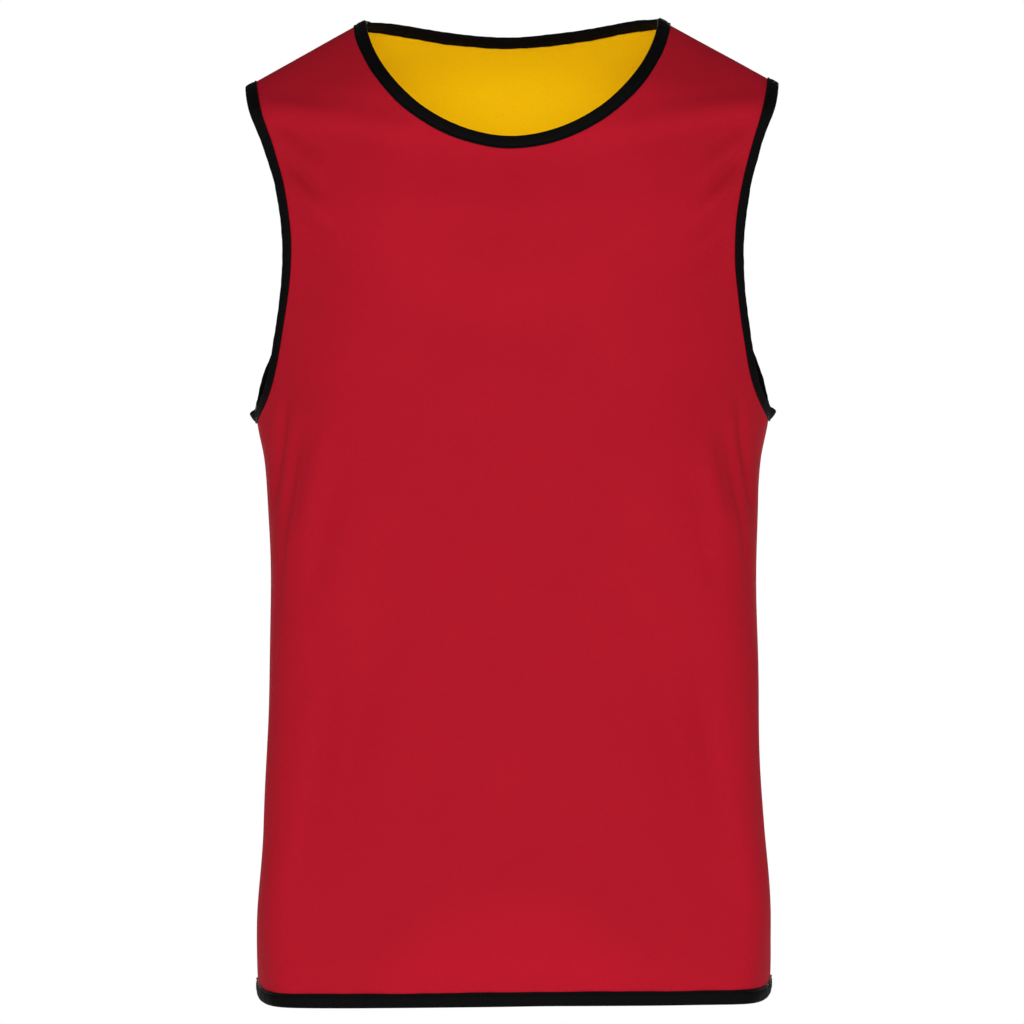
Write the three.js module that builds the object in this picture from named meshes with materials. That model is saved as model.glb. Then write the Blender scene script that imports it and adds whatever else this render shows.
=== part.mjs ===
import * as THREE from "three";

// Reversible rugby bib: a sleeveless two-layer top, red outside and yellow inside, filled out
// with no wearer, each open edge bound with a folded black strip.
// Millimetres, +Z up, the front faces -Y, +X is to the right seen from the front.
// The origin is midway between the shoulders, level with the top of the neck opening at its sides.

// Thickness of the cloth and the clearances between pieces
const CLOTH = 1.0;
const BINDING = 1.0;
const SEAM_GAP = 0.3;

// Width of the binding that shows, and how far the panels run in under it
const BINDING_WIDTH = 10.3;
const HEM_BINDING_WIDTH = 11;
const BEND_REACH = SEAM_GAP + BINDING;
const EDGE_STRIP = BINDING_WIDTH - BEND_REACH;
const HEM_STRIP = HEM_BINDING_WIDTH - BEND_REACH;

// Distances from the middle surface between the two layers: both faces of the cloth, both faces
// of a binding's legs, and the rounding of its bend
const CLOTH_NEAR = SEAM_GAP / 2;
const CLOTH_FAR = CLOTH_NEAR + CLOTH;
const LEG_INNER = CLOTH_FAR + SEAM_GAP;
const LEG_OUTER = LEG_INNER + BINDING;
const BEND_SHOULDER = 1.2;

// Heights where the panels change
const HEM_Z = -748;
const HEM_INNER_Z = HEM_Z + HEM_BINDING_WIDTH;
const UNDERARM_Z = -310;
const CORNER_Z = -282;
const UNDERARM_FLARE = 0.5;

// Level sections of the body. From its middle to a side, the depth of the front or the back
// falls as (1 - (x / halfWidth)^power)^root. A high power keeps it flat up to the corners, and
// a root of 1 lets front and back meet at an angle in the side seam. Above the underarm the
// half width is where the side would be, had the armhole not been cut away.
const BODY_LEVELS = [
  { z: -748, halfWidth: 196.2, front: 129, back: 121, power: 24, root: 1 },
  { z: -720, halfWidth: 196.9, front: 129, back: 121, power: 24, root: 0.7 },
  { z: -680, halfWidth: 195.9, front: 128, back: 120, power: 24, root: 0.36 },
  { z: -617, halfWidth: 189.8, front: 126, back: 117, power: 22, root: 0.24 },
  { z: -530, halfWidth: 185, front: 123, back: 113, power: 18, root: 0.26 },
  { z: -447, halfWidth: 184.9, front: 121, back: 110, power: 14, root: 0.4 },
  { z: -386, halfWidth: 186.9, front: 120, back: 110, power: 9.6, root: 0.48 },
  { z: -340, halfWidth: 190, front: 119, back: 111, power: 6.2, root: 0.5 },
  { z: -310, halfWidth: 195.9, front: 118, back: 112, power: 4.5, root: 0.48 },
  { z: -285, halfWidth: 198, front: 118, back: 113, power: 3.3, root: 0.46 },
  { z: -250, halfWidth: 193.5, front: 117, back: 114, power: 2.7, root: 0.44 },
  { z: -200, halfWidth: 189, front: 114, back: 114, power: 2.3, root: 0.435 },
  { z: -150, halfWidth: 191.5, front: 105, back: 112, power: 2.3, root: 0.435 },
  { z: -110, halfWidth: 198.5, front: 92, back: 109, power: 2.3, root: 0.435 },
  { z: -70, halfWidth: 211, front: 86, back: 102, power: 2.3, root: 0.435 },
  { z: -40, halfWidth: 224, front: 84, back: 96, power: 2.3, root: 0.435 },
  { z: 40, halfWidth: 250, front: 82, back: 84, power: 2.3, root: 0.435 },
];

// How far the hem hangs below its level at places across the bib, seen from the front
const HEM_SAG = [
  { x: -205, front: 0, back: 0 },
  { x: -165, front: 0.6, back: 1.5 },
  { x: -95, front: 0.9, back: 0.3 },
  { x: 0, front: 0.4, back: 0 },
  { x: 95, front: 0.2, back: 0.8 },
  { x: 165, front: -0.3, back: 1.8 },
  { x: 205, front: 0, back: 0 },
];

// Half width of the cloth that shows between the armhole bindings, seen from the front
const ARMHOLE_LEVELS = [
  { z: -310, front: 195.9, back: 195.9 },
  { z: -303, front: 191.0, back: 194.8 },
  { z: -294, front: 186.2, back: 193.0 },
  { z: -280, front: 181.0, back: 189.8 },
  { z: -250, front: 174.6, back: 178.6 },
  { z: -220, front: 170.0, back: 171.2 },
  { z: -190, front: 167.6, back: 168.0 },
  { z: -160, front: 168.6, back: 168.8 },
  { z: -130, front: 173.4, back: 173.4 },
  { z: -100, front: 182.0, back: 182.0 },
  { z: -75, front: 190.2, back: 190.2 },
  { z: -47, front: 196.0, back: 196.0 },
  { z: 40, front: 206, back: 206 },
];

// Shoulder line and neckline
const SHOULDER = { neckX: 121, neckZ: -6, tipZ: -47, slope: 0.554, roll: { front: 22, back: 30 } };
const SHOULDER_FALL = { front: 0.85, back: 1.15 };
const SHOULDER_BLEND = 9;
const NECKLINE = {
  front: { drop: 100, power: 0.625 },
  back: { drop: 9.5, power: 1 },
};

// Line across the shoulder blades and the upper chest, where the shoulders start
const YOKE = { armholeZ: -86, neckZ: -57, backNeckX: 112 };

// Largest folds: a line of three points on the cloth, seen from the front, with the half width
// and the depth of the fold. A trough has a positive depth and a ridge a negative one.
const FOLDS = [
  { side: "front", x0: -170, z0: -286, x1: -177, z1: -336, x2: -180, z2: -385, width: 10, depth: 3.2 },
  { side: "front", x0: -154, z0: -300, x1: -165, z1: -350, x2: -169, z2: -400, width: 11, depth: 2.6 },
  { side: "front", x0: -125, z0: -325, x1: -141, z1: -389, x2: -160, z2: -475, width: 17, depth: 3.0 },
  { side: "front", x0: -103, z0: -430, x1: -124, z1: -570, x2: -163, z2: -680, width: 27, depth: 5.0 },
  { side: "front", x0: -139, z0: -500, x1: -156, z1: -590, x2: -176, z2: -650, width: 20, depth: -3.0 },
  { side: "front", x0: 171, z0: -286, x1: 177, z1: -342, x2: 181, z2: -390, width: 10, depth: 3.0 },
  { side: "front", x0: 155, z0: -300, x1: 163, z1: -345, x2: 168, z2: -392, width: 11, depth: 2.8 },
  { side: "front", x0: 128, z0: -328, x1: 141, z1: -391, x2: 152, z2: -455, width: 17, depth: 2.6 },
  { side: "front", x0: 101, z0: -430, x1: 122, z1: -575, x2: 170, z2: -690, width: 28, depth: 4.6 },
  { side: "front", x0: 140, z0: -505, x1: 154, z1: -580, x2: 172, z2: -640, width: 20, depth: -2.6 },
  { side: "front", x0: -184, z0: -76, x1: -166, z1: -94, x2: -142, z2: -118, width: 11, depth: 2.2 },
  { side: "front", x0: 184, z0: -76, x1: 165, z1: -93, x2: 141, z2: -116, width: 11, depth: 2.0 },
  { side: "back", x0: -171, z0: -288, x1: -177, z1: -340, x2: -181, z2: -394, width: 11, depth: 3.2 },
  { side: "back", x0: -140, z0: -305, x1: -154, z1: -380, x2: -166, z2: -462, width: 16, depth: 3.2 },
  { side: "back", x0: -96, z0: -400, x1: -118, z1: -540, x2: -152, z2: -676, width: 28, depth: 5.0 },
  { side: "back", x0: 170, z0: -288, x1: 177, z1: -345, x2: 180, z2: -386, width: 11, depth: 3.0 },
  { side: "back", x0: 137, z0: -312, x1: 150, z1: -392, x2: 165, z2: -484, width: 17, depth: 3.4 },
  { side: "back", x0: 90, z0: -415, x1: 113, z1: -560, x2: 150, z2: -690, width: 28, depth: 4.6 },
  { side: "back", x0: -30, z0: -330, x1: -10, z1: -430, x2: -22, z2: -560, width: 30, depth: 2.6 },
  { side: "back", x0: -182, z0: -80, x1: -160, z1: -104, x2: -132, z2: -134, width: 12, depth: 2.4 },
  { side: "back", x0: 182, z0: -80, x1: 161, z1: -102, x2: 134, z2: -130, width: 12, depth: 2.2 },
];
const FOLD_FADE = 0.35;
const FOLD_STEPS = 10;

// Rows and columns of a panel between its bindings. Side columns end on the bottom of an armhole,
// shoulder columns on a shoulder seam and neck columns on the bottom of the neckline. Tube rows
// reach the underarms, chest rows the yoke line, and yoke rows the shoulder seams.
const TUBE_ROWS = 11;
const TUBE_ROW_GROWTH = 1.2;
const CHEST_ROWS = 9;
const YOKE_ROWS = 5;
const CHEST_TOP = TUBE_ROWS + CHEST_ROWS;
const ROWS = CHEST_TOP + YOKE_ROWS;
const SIDE_COLUMNS = 4;
const SHOULDER_COLUMNS = 6;
const NECK_COLUMNS = 10;
const COLUMN_SPREAD = 2.3;
const HALVINGS = 40;
const NECK_START = SIDE_COLUMNS + SHOULDER_COLUMNS;
const COLUMNS = 2 * NECK_START + NECK_COLUMNS;

const RED = { color: 0xb31a2a, roughness: 0.8 };
const YELLOW = { color: 0xf0b808, roughness: 0.8 };
const BLACK = { color: 0x0f0f10, roughness: 0.6 };

const SIDES = { front: -1, back: 1 };

// Smooth curve through one column of a table whose rows are placed by their key
function tableValue(rows, column, at, key = "z") {
  let i = 0;
  while (i < rows.length - 2 && at > rows[i + 1][key]) i++;
  const slope = (a, b) => (rows[b][column] - rows[a][column]) / (rows[b][key] - rows[a][key]);
  const [low, high] = [rows[i], rows[i + 1]];
  const step = high[key] - low[key];
  const between = slope(i, i + 1);
  const before = i > 0 ? (slope(i - 1, i) + between) / 2 : between;
  const after = i < rows.length - 2 ? (between + slope(i + 1, i + 2)) / 2 : between;
  const s = (at - low[key]) / step;
  const s2 = s * s;
  const s3 = s2 * s;
  return (
    low[column] * (2 * s3 - 3 * s2 + 1) +
    high[column] * (3 * s2 - 2 * s3) +
    step * before * (s3 - 2 * s2 + s) +
    step * after * (s3 - s2)
  );
}

const bodyHalfWidth = (z) => tableValue(BODY_LEVELS, "halfWidth", z);

// Height of the shoulder ridge, carried on smoothly over the neck opening
function ridgeHeight(x) {
  const inside = SHOULDER.neckX - Math.abs(x);
  const rise = inside < 0 ? inside : inside * (1 - inside / (2 * SHOULDER.neckX));
  return SHOULDER.neckZ + SHOULDER.slope * rise;
}

// Distance of the cloth from the plane of the side seams
function clothDepth(side, x, z) {
  const below = ridgeHeight(x) - z;
  const across = Math.abs(x) / bodyHalfWidth(z);
  if (below <= 0 || across >= 1) return 0;
  const [depth, power, root] = [side, "power", "root"].map((c) => tableValue(BODY_LEVELS, c, z));
  const body = depth * (1 - across ** power) ** root;
  const fall = SHOULDER_FALL[side] * below;
  const shoulder = Math.sqrt(fall * fall + 2 * SHOULDER.roll[side] * below);
  const blend = -SHOULDER_BLEND;
  return (body ** blend + shoulder ** blend) ** (1 / blend);
}

const clothPoint = (side, x, z) => new THREE.Vector3(x, SIDES[side] * clothDepth(side, x, z), z);

const armholeX = (side, z) => tableValue(ARMHOLE_LEVELS, side, z);

// Columns are spaced by an angle, 0 at the side seam and a right angle in the middle
const angleAt = (x, z) => Math.acos(Math.min(1, x / bodyHalfWidth(z)) ** (COLUMN_SPREAD / 2));
const edgeAngle = (side, z) => angleAt(armholeX(side, z), z);

function necklineZ(side, x) {
  const { drop, power } = NECKLINE[side];
  return SHOULDER.neckZ - drop * Math.max(0, 1 - (x / SHOULDER.neckX) ** 2) ** power;
}

function necklineX(side, z) {
  const { drop, power } = NECKLINE[side];
  return SHOULDER.neckX * Math.sqrt(1 - ((SHOULDER.neckZ - z) / drop) ** (1 / power));
}

// Where the yoke line ends beside the neck. On the front that is on the neckline.
const YOKE_NECK_X = { front: necklineX("front", YOKE.neckZ), back: YOKE.backNeckX };

// Share of the way across between the armholes, at which a column stands
function columnShare(side, c) {
  const edge = edgeAngle(side, YOKE.neckZ);
  const neck = (angleAt(YOKE_NECK_X[side], YOKE.neckZ) - edge) / (Math.PI - 2 * edge);
  return c <= NECK_START
    ? (neck * (c - SIDE_COLUMNS)) / SHOULDER_COLUMNS
    : neck + ((1 - 2 * neck) * (c - NECK_START)) / NECK_COLUMNS;
}

// Where a column of the left half stands at a level, as a distance from the middle
function columnX(side, c, z) {
  let angle = (edgeAngle(side, CORNER_Z) * c) / SIDE_COLUMNS;
  if (c >= SIDE_COLUMNS) {
    const edge = edgeAngle(side, Math.max(z, CORNER_Z));
    angle = edge + columnShare(side, c) * (Math.PI - 2 * edge);
  }
  return bodyHalfWidth(z) * Math.max(0, Math.cos(angle)) ** (2 / COLUMN_SPREAD);
}

// Highest level at which a column is still inside the curve it ends on, found by halving
function columnTop(side, c) {
  if (c === 0) return UNDERARM_Z;
  const isPast = (x, z) => (c < SIDE_COLUMNS ? x > armholeX(side, z) : z > necklineZ(side, x));
  let low = UNDERARM_Z;
  let high = c < SIDE_COLUMNS ? CORNER_Z : SHOULDER.neckZ;
  for (let i = 0; i < HALVINGS; i++) {
    const middle = (low + high) / 2;
    if (isPast(columnX(side, c, middle), middle)) high = middle;
    else low = middle;
  }
  return low;
}

// Level of the yoke line, and on the front of the neckline below it
function yokeZ(side, c) {
  const share = (c - SIDE_COLUMNS) / SHOULDER_COLUMNS;
  if (share <= 1) return YOKE.armholeZ + (YOKE.neckZ - YOKE.armholeZ) * share;
  return side === "front" ? columnTop(side, c) : YOKE.neckZ;
}

// A point of the yoke seen from the front. Columns run straight to the shoulder ridge or the
// back neckline, bent between the curves of the armhole and the front neckline.
function yokePoint(side, c, row) {
  const up = 1 - (1 - row / YOKE_ROWS) ** 2;
  const foot = (column) => {
    const z = yokeZ(side, column);
    return new THREE.Vector2(columnX(side, column, z), z);
  };
  const share = (c - SIDE_COLUMNS) / SHOULDER_COLUMNS;
  if (share > 1) {
    const x = SHOULDER.neckX * (1 - (2 * (c - NECK_START)) / NECK_COLUMNS);
    return foot(c).lerp(new THREE.Vector2(x, necklineZ(side, x)), up);
  }
  const tipX = armholeX(side, SHOULDER.tipZ);
  const ridge = (s) => {
    const x = tipX + (SHOULDER.neckX - tipX) * s;
    return new THREE.Vector2(x, ridgeHeight(x));
  };
  const straight = (column, s) => foot(column).lerp(ridge(s), up);
  const edge = (curveX, bottom, top) => {
    const z = bottom + (top - bottom) * up;
    return new THREE.Vector2(curveX(z), z);
  };
  const atArmhole = edge((z) => armholeX(side, z), YOKE.armholeZ, ridge(0).y);
  const atNeck =
    side === "front"
      ? edge((z) => necklineX("front", z), YOKE.neckZ, SHOULDER.neckZ)
      : straight(NECK_START, 1);
  return straight(c, share)
    .addScaledVector(atArmhole.sub(straight(SIDE_COLUMNS, 0)), 1 - share)
    .addScaledVector(atNeck.sub(straight(NECK_START, 1)), share);
}

// A grid point seen from the front: its distance from the middle, and its level. Columns are
// counted from the side seam, and half is -1 on the left. Tube rows close up to the underarm.
function gridPoint(side, row, c, half) {
  if (row > CHEST_TOP) return yokePoint(side, c, row - CHEST_TOP);
  let z = CORNER_Z;
  if (row <= TUBE_ROWS) {
    const top = c < SIDE_COLUMNS ? columnTop(side, c) : CORNER_Z;
    const sag = tableValue(HEM_SAG, side, half * columnX(side, c, HEM_INNER_Z), "x");
    const down = TUBE_ROW_GROWTH ** (TUBE_ROWS - row) - 1;
    const whole = TUBE_ROW_GROWTH ** TUBE_ROWS - 1;
    const hem = HEM_INNER_Z - (c > 0 ? sag : 0);
    z = top - ((top - hem) * down) / whole;
  } else {
    z += ((yokeZ(side, c) - CORNER_Z) * (row - TUBE_ROWS)) / CHEST_ROWS;
  }
  return new THREE.Vector2(columnX(side, c, z), z);
}

// Points along the middle of each fold, on the cloth
const foldLines = FOLDS.map((fold) => {
  const curve = new THREE.QuadraticBezierCurve(
    new THREE.Vector2(fold.x0, fold.z0),
    new THREE.Vector2(fold.x1, fold.z1),
    new THREE.Vector2(fold.x2, fold.z2),
  );
  const points = curve.getPoints(FOLD_STEPS).map((p) => clothPoint(fold.side, p.x, p.y));
  return { ...fold, points };
});

const smooth = (s) => {
  const t = Math.min(1, Math.max(0, s));
  return t * t * (3 - 2 * t);
};

// How far the folds of a side draw the cloth in at a point
function foldDepth(side, point) {
  let sum = 0;
  const nearest = new THREE.Vector3();
  for (const fold of foldLines) {
    if (fold.side !== side) continue;
    let distance = Infinity;
    let along = 0;
    for (let i = 0; i < FOLD_STEPS; i++) {
      const line = new THREE.Line3(fold.points[i], fold.points[i + 1]);
      const share = line.closestPointToPointParameter(point, true);
      line.at(share, nearest);
      if (nearest.distanceTo(point) < distance) {
        distance = nearest.distanceTo(point);
        along = (i + share) / FOLD_STEPS;
      }
    }
    const fade = smooth(along / FOLD_FADE) * smooth((1 - along) / FOLD_FADE);
    sum += fold.depth * fade * Math.exp(-((distance / fold.width) ** 2));
  }
  return sum;
}

// The middle surface between the two layers, as one mesh: points, and triangles for each side
const points = [];
const triangles = { front: [], back: [] };

function addPoint(point) {
  points.push(point);
  return points.length - 1;
}

// Corners in the order that turns the face away from the inside of the bib
function addQuad(side, a, b, c, d) {
  triangles[side].push([a, b, c], [a, c, d]);
}

// Mean direction of the triangles round each point, each counting by its angle there
function pointNormals() {
  const sums = points.map(() => new THREE.Vector3());
  const [normal, toNext, toLast] = [new THREE.Vector3(), new THREE.Vector3(), new THREE.Vector3()];
  for (const list of Object.values(triangles)) {
    for (const corners of list) {
      new THREE.Triangle(...corners.map((i) => points[i])).getNormal(normal);
      corners.forEach((index, i) => {
        toNext.subVectors(points[corners[(i + 1) % 3]], points[index]);
        toLast.subVectors(points[corners[(i + 2) % 3]], points[index]);
        sums[index].addScaledVector(normal, toNext.angleTo(toLast));
      });
    }
  }
  return sums.map((sum, i) => (points[i].y === 0 ? sum.setY(0) : sum).normalize());
}

// Columns counted from the nearer side seam
const fromSeam = (column) => Math.min(column, COLUMNS - column);

// The grid has no points in the armholes, and none in the neck opening
function isCloth(side, row, column) {
  const c = fromSeam(column);
  if (row > TUBE_ROWS && c < SIDE_COLUMNS) return false;
  return side === "back" || row <= CHEST_TOP || c <= NECK_START;
}

// Whether a grid point lies on a side seam or a shoulder seam, which both sides share
const onSeam = (row, column) =>
  row === ROWS ? fromSeam(column) <= NECK_START : row <= TUBE_ROWS && fromSeam(column) === 0;

const grids = {};
for (const side of Object.keys(SIDES)) {
  const grid = [];
  for (let row = 0; row <= ROWS; row++) {
    grid.push([]);
    for (let column = 0; column <= COLUMNS; column++) {
      if (!isCloth(side, row, column)) continue;
      if (side === "back" && onSeam(row, column)) {
        grid[row][column] = grids.front[row][column];
        continue;
      }
      const half = column > COLUMNS / 2 ? 1 : -1;
      const { x, y: z } = gridPoint(side, row, fromSeam(column), half);
      const point = clothPoint(side, half * x, z);
      if (onSeam(row, column)) point.y = 0;
      grid[row][column] = addPoint(point);
    }
  }
  grids[side] = grid;
  const [left, right] = side === "front" ? [0, 1] : [1, 0];
  for (let row = 0; row < ROWS; row++) {
    for (let column = 0; column < COLUMNS; column++) {
      const corners = [
        grid[row][column + left],
        grid[row][column + right],
        grid[row + 1][column + right],
        grid[row + 1][column + left],
      ];
      if (!corners.includes(undefined)) addQuad(side, ...corners);
    }
  }
}

// Draw the folds in, away from the seams
const flatNormals = pointNormals();
for (const side of Object.keys(SIDES)) {
  for (const index of new Set(grids[side].flat().filter((i) => i !== undefined))) {
    if (points[index].y === 0) continue;
    const drawnIn = foldDepth(side, points[index]);
    points[index].addScaledVector(flatNormals[index], -drawnIn);
  }
}

// Each ring runs round one opening, with the opening on its left seen from outside: the points
// where its binding starts, in order, with the side that each stretch to the next point lies on
function ring(front, back) {
  const stretch = (side, list) => list.map((index) => ({ inner: index, side }));
  return [...stretch("front", front.slice(0, -1)), ...stretch("back", back.slice(0, -1))];
}

// Along the neckline from the left shoulder seam to the right one
function neckEdge(side) {
  const grid = grids[side];
  const last = COLUMNS - NECK_START;
  if (side === "back") return grid[ROWS].slice(NECK_START, last + 1);
  const up = (column) => grid.slice(CHEST_TOP + 1).map((row) => row[column]);
  const bottom = grid[CHEST_TOP].slice(NECK_START, last + 1);
  return [...up(NECK_START).toReversed(), ...bottom, ...up(last)];
}

// Along the bottom of an armhole from the side seam, then up to the shoulder
function armholeEdge(side, seamColumn) {
  const inwards = seamColumn === 0 ? 1 : -1;
  const grid = grids[side];
  const bottom = [];
  for (let i = 0; i < SIDE_COLUMNS; i++) bottom.push(grid[TUBE_ROWS][seamColumn + inwards * i]);
  const up = grid.slice(TUBE_ROWS).map((row) => row[seamColumn + inwards * SIDE_COLUMNS]);
  return [...bottom, ...up];
}

const rings = {
  hem_binding: { strip: HEM_STRIP, stations: ring(grids.front[0].toReversed(), grids.back[0]) },
  neck_binding: {
    strip: EDGE_STRIP,
    stations: ring(neckEdge("front"), neckEdge("back").toReversed()),
  },
  armhole_binding_right: {
    strip: EDGE_STRIP,
    stations: ring(armholeEdge("front", 0), armholeEdge("back", 0).toReversed()),
  },
  armhole_binding_left: {
    strip: EDGE_STRIP,
    stations: ring(armholeEdge("front", COLUMNS).toReversed(), armholeEdge("back", COLUMNS)),
  },
};

// Direction in which the cloth runs on under a binding: level with the cloth, square to its edge
function runOut(name, stations, i, normals) {
  if (name === "hem_binding") return new THREE.Vector3(0, 0, -1);
  const { inner } = stations[i];
  const count = stations.length;
  const next = points[stations[(i + 1) % count].inner];
  const last = points[stations[(i + count - 1) % count].inner];
  const { x, y, z } = points[inner];
  if (y === 0 && z === UNDERARM_Z) {
    return new THREE.Vector3(Math.sign(x) * UNDERARM_FLARE, 0, 1).normalize();
  }
  const out = new THREE.Vector3().subVectors(next, last).cross(normals[inner]).negate();
  if (y === 0) out.setY(0);
  return out.normalize();
}

// Run the cloth on under each binding
const gridNormals = pointNormals();
for (const [name, { strip, stations }] of Object.entries(rings)) {
  stations.forEach((station, i) => {
    station.out = runOut(name, stations, i, gridNormals);
    const outer = points[station.inner].clone().addScaledVector(station.out, strip);
    station.outer = addPoint(outer);
  });
  stations.forEach((station, i) => {
    const next = stations[(i + 1) % stations.length];
    addQuad(station.side, station.inner, next.inner, next.outer, station.outer);
  });
}
const normals = pointNormals();

function meshOf(name, vertices, faces, { color, roughness }) {
  const geometry = new THREE.BufferGeometry();
  const flat = vertices.flatMap((v) => [v.x, v.y, v.z]);
  geometry.setAttribute("position", new THREE.Float32BufferAttribute(flat, 3));
  geometry.setIndex(faces.flat());
  geometry.computeVertexNormals();
  const material = new THREE.MeshStandardMaterial({ color, roughness, metalness: 0 });
  const mesh = new THREE.Mesh(geometry, material);
  mesh.name = name;
  return mesh;
}

// One layer of one side: the middle surface moved out to both faces of the cloth and closed
// round its edge. A seam edge stops half a gap short of the other side's panel.
function panel(name, side, innerFace, outerFace, finish) {
  const used = [...new Set(triangles[side].flat())];
  const place = new Map(used.map((index, i) => [index, i]));
  const face = (offset) =>
    used.map((index) => {
      const moved = points[index].clone().addScaledVector(normals[index], offset);
      if (points[index].y === 0) moved.y = (SIDES[side] * SEAM_GAP) / 2;
      return moved;
    });
  const count = used.length;
  const outside = triangles[side].map((t) => t.map((index) => place.get(index)));
  const faces = outside.flatMap(([a, b, c]) => [
    [a, b, c],
    [a + count, c + count, b + count],
  ]);
  const edges = new Map();
  for (const [a, b, c] of outside) {
    for (const [from, to] of [[a, b], [b, c], [c, a]]) {
      if (!edges.delete(`${to} ${from}`)) edges.set(`${from} ${to}`, [from, to]);
    }
  }
  for (const [from, to] of edges.values()) {
    faces.push([to, from, from + count], [to, from + count, to + count]);
  }
  return meshOf(name, [...face(outerFace), ...face(innerFace)], faces, finish);
}

// A folded strip round an opening. Its section runs up the outside leg, round the bend and back
// down the inside leg: `on` says whether a corner stands at the strip's start or at the cloth's
// edge, `along` is how far past that it lies, and `off` how far out from the middle surface.
const BINDING_SECTION = [
  { on: "inner", along: 0, off: LEG_OUTER },
  { on: "outer", along: SEAM_GAP, off: LEG_OUTER },
  { on: "outer", along: BEND_REACH, off: BEND_SHOULDER },
  { on: "outer", along: BEND_REACH, off: -BEND_SHOULDER },
  { on: "outer", along: SEAM_GAP, off: -LEG_OUTER },
  { on: "inner", along: 0, off: -LEG_OUTER },
  { on: "inner", along: 0, off: -LEG_INNER },
  { on: "outer", along: SEAM_GAP, off: -LEG_INNER },
  { on: "outer", along: SEAM_GAP, off: LEG_INNER },
  { on: "inner", along: 0, off: LEG_INNER },
];

function binding(name, stations) {
  const corners = BINDING_SECTION.length;
  const vertices = stations.flatMap((station) =>
    BINDING_SECTION.map(({ on, along, off }) =>
      points[station[on]]
        .clone()
        .addScaledVector(station.out, along)
        .addScaledVector(normals[station[on]], off),
    ),
  );
  const faces = [];
  stations.forEach((_, i) => {
    const next = (i + 1) % stations.length;
    for (let j = 0; j < corners; j++) {
      const k = (j + 1) % corners;
      const [a, b, c, d] = [
        i * corners + j,
        next * corners + j,
        next * corners + k,
        i * corners + k,
      ];
      // Split each face along the same diagonal as the cloth under it
      const towardsEdge = BINDING_SECTION[j].on === "inner";
      if (towardsEdge) faces.push([a, b, c], [a, c, d]);
      else faces.push([a, b, d], [b, c, d]);
    }
  });
  return meshOf(name, vertices, faces, BLACK);
}

const bib = new THREE.Group();
for (const side of Object.keys(SIDES)) {
  bib.add(panel(`${side}_outer`, side, CLOTH_NEAR, CLOTH_FAR, RED));
  bib.add(panel(`${side}_inner`, side, -CLOTH_FAR, -CLOTH_NEAR, YELLOW));
}
for (const [name, { stations }] of Object.entries(rings)) {
  bib.add(binding(name, stations));
}

export default bib;
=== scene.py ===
import math
import bpy
import numpy as np
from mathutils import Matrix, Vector


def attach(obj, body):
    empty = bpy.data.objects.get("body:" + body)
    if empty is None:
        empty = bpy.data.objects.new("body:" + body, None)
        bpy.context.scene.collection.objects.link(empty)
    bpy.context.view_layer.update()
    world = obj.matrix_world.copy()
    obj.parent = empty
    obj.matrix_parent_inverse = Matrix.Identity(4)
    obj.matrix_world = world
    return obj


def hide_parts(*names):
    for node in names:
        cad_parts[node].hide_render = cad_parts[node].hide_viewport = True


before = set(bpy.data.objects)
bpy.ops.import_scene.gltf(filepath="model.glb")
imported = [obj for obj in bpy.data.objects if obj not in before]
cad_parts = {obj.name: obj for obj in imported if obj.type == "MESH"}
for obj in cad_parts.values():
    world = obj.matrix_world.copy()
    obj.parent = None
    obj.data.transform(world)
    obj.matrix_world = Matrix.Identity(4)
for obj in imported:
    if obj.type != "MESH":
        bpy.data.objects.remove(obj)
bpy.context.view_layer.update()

# Red cloth: the front and the back of the bib's outside. Each is one piece of fine polyester
# knit, sewn to the other at the sides and over the shoulders. The bib is filled out with no
# wearer, so both keep the round of a chest, and soft folds run down from the underarms.


def columns(names, rows):
    """A table as named columns."""
    return dict(zip(names.split(), np.array(rows, float).T))


# Level sections of the body: from the middle to a side, the depth falls as
# (1 - (x / half_width)^power)^root. Above the underarm the half width is where the side would
# be, had the armhole not been cut away.
BODY = columns("z half_width front back power root", [
    (-0.748, 0.1962, 0.129, 0.121, 24, 1),
    (-0.720, 0.1969, 0.129, 0.121, 24, 0.7),
    (-0.680, 0.1959, 0.128, 0.120, 24, 0.36),
    (-0.617, 0.1898, 0.126, 0.117, 22, 0.24),
    (-0.530, 0.1850, 0.123, 0.113, 18, 0.26),
    (-0.447, 0.1849, 0.121, 0.110, 14, 0.4),
    (-0.386, 0.1869, 0.120, 0.110, 9.6, 0.48),
    (-0.340, 0.1900, 0.119, 0.111, 6.2, 0.5),
    (-0.310, 0.1959, 0.118, 0.112, 4.5, 0.48),
    (-0.285, 0.1980, 0.118, 0.113, 3.3, 0.46),
    (-0.250, 0.1935, 0.117, 0.114, 2.7, 0.44),
    (-0.200, 0.1890, 0.114, 0.114, 2.3, 0.435),
    (-0.150, 0.1915, 0.105, 0.112, 2.3, 0.435),
    (-0.110, 0.1985, 0.092, 0.109, 2.3, 0.435),
    (-0.070, 0.2110, 0.086, 0.102, 2.3, 0.435),
    (-0.040, 0.2240, 0.084, 0.096, 2.3, 0.435),
    (0.040, 0.2500, 0.082, 0.084, 2.3, 0.435),
])

# How far the hem hangs below its level at places across the bib, seen from the front
HEM_SAG = columns("x front back", [
    (-0.205, 0.0000, 0.0000),
    (-0.165, 0.0006, 0.0015),
    (-0.095, 0.0009, 0.0003),
    (0.000, 0.0004, 0.0000),
    (0.095, 0.0002, 0.0008),
    (0.165, -0.0003, 0.0018),
    (0.205, 0.0000, 0.0000),
])

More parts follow.
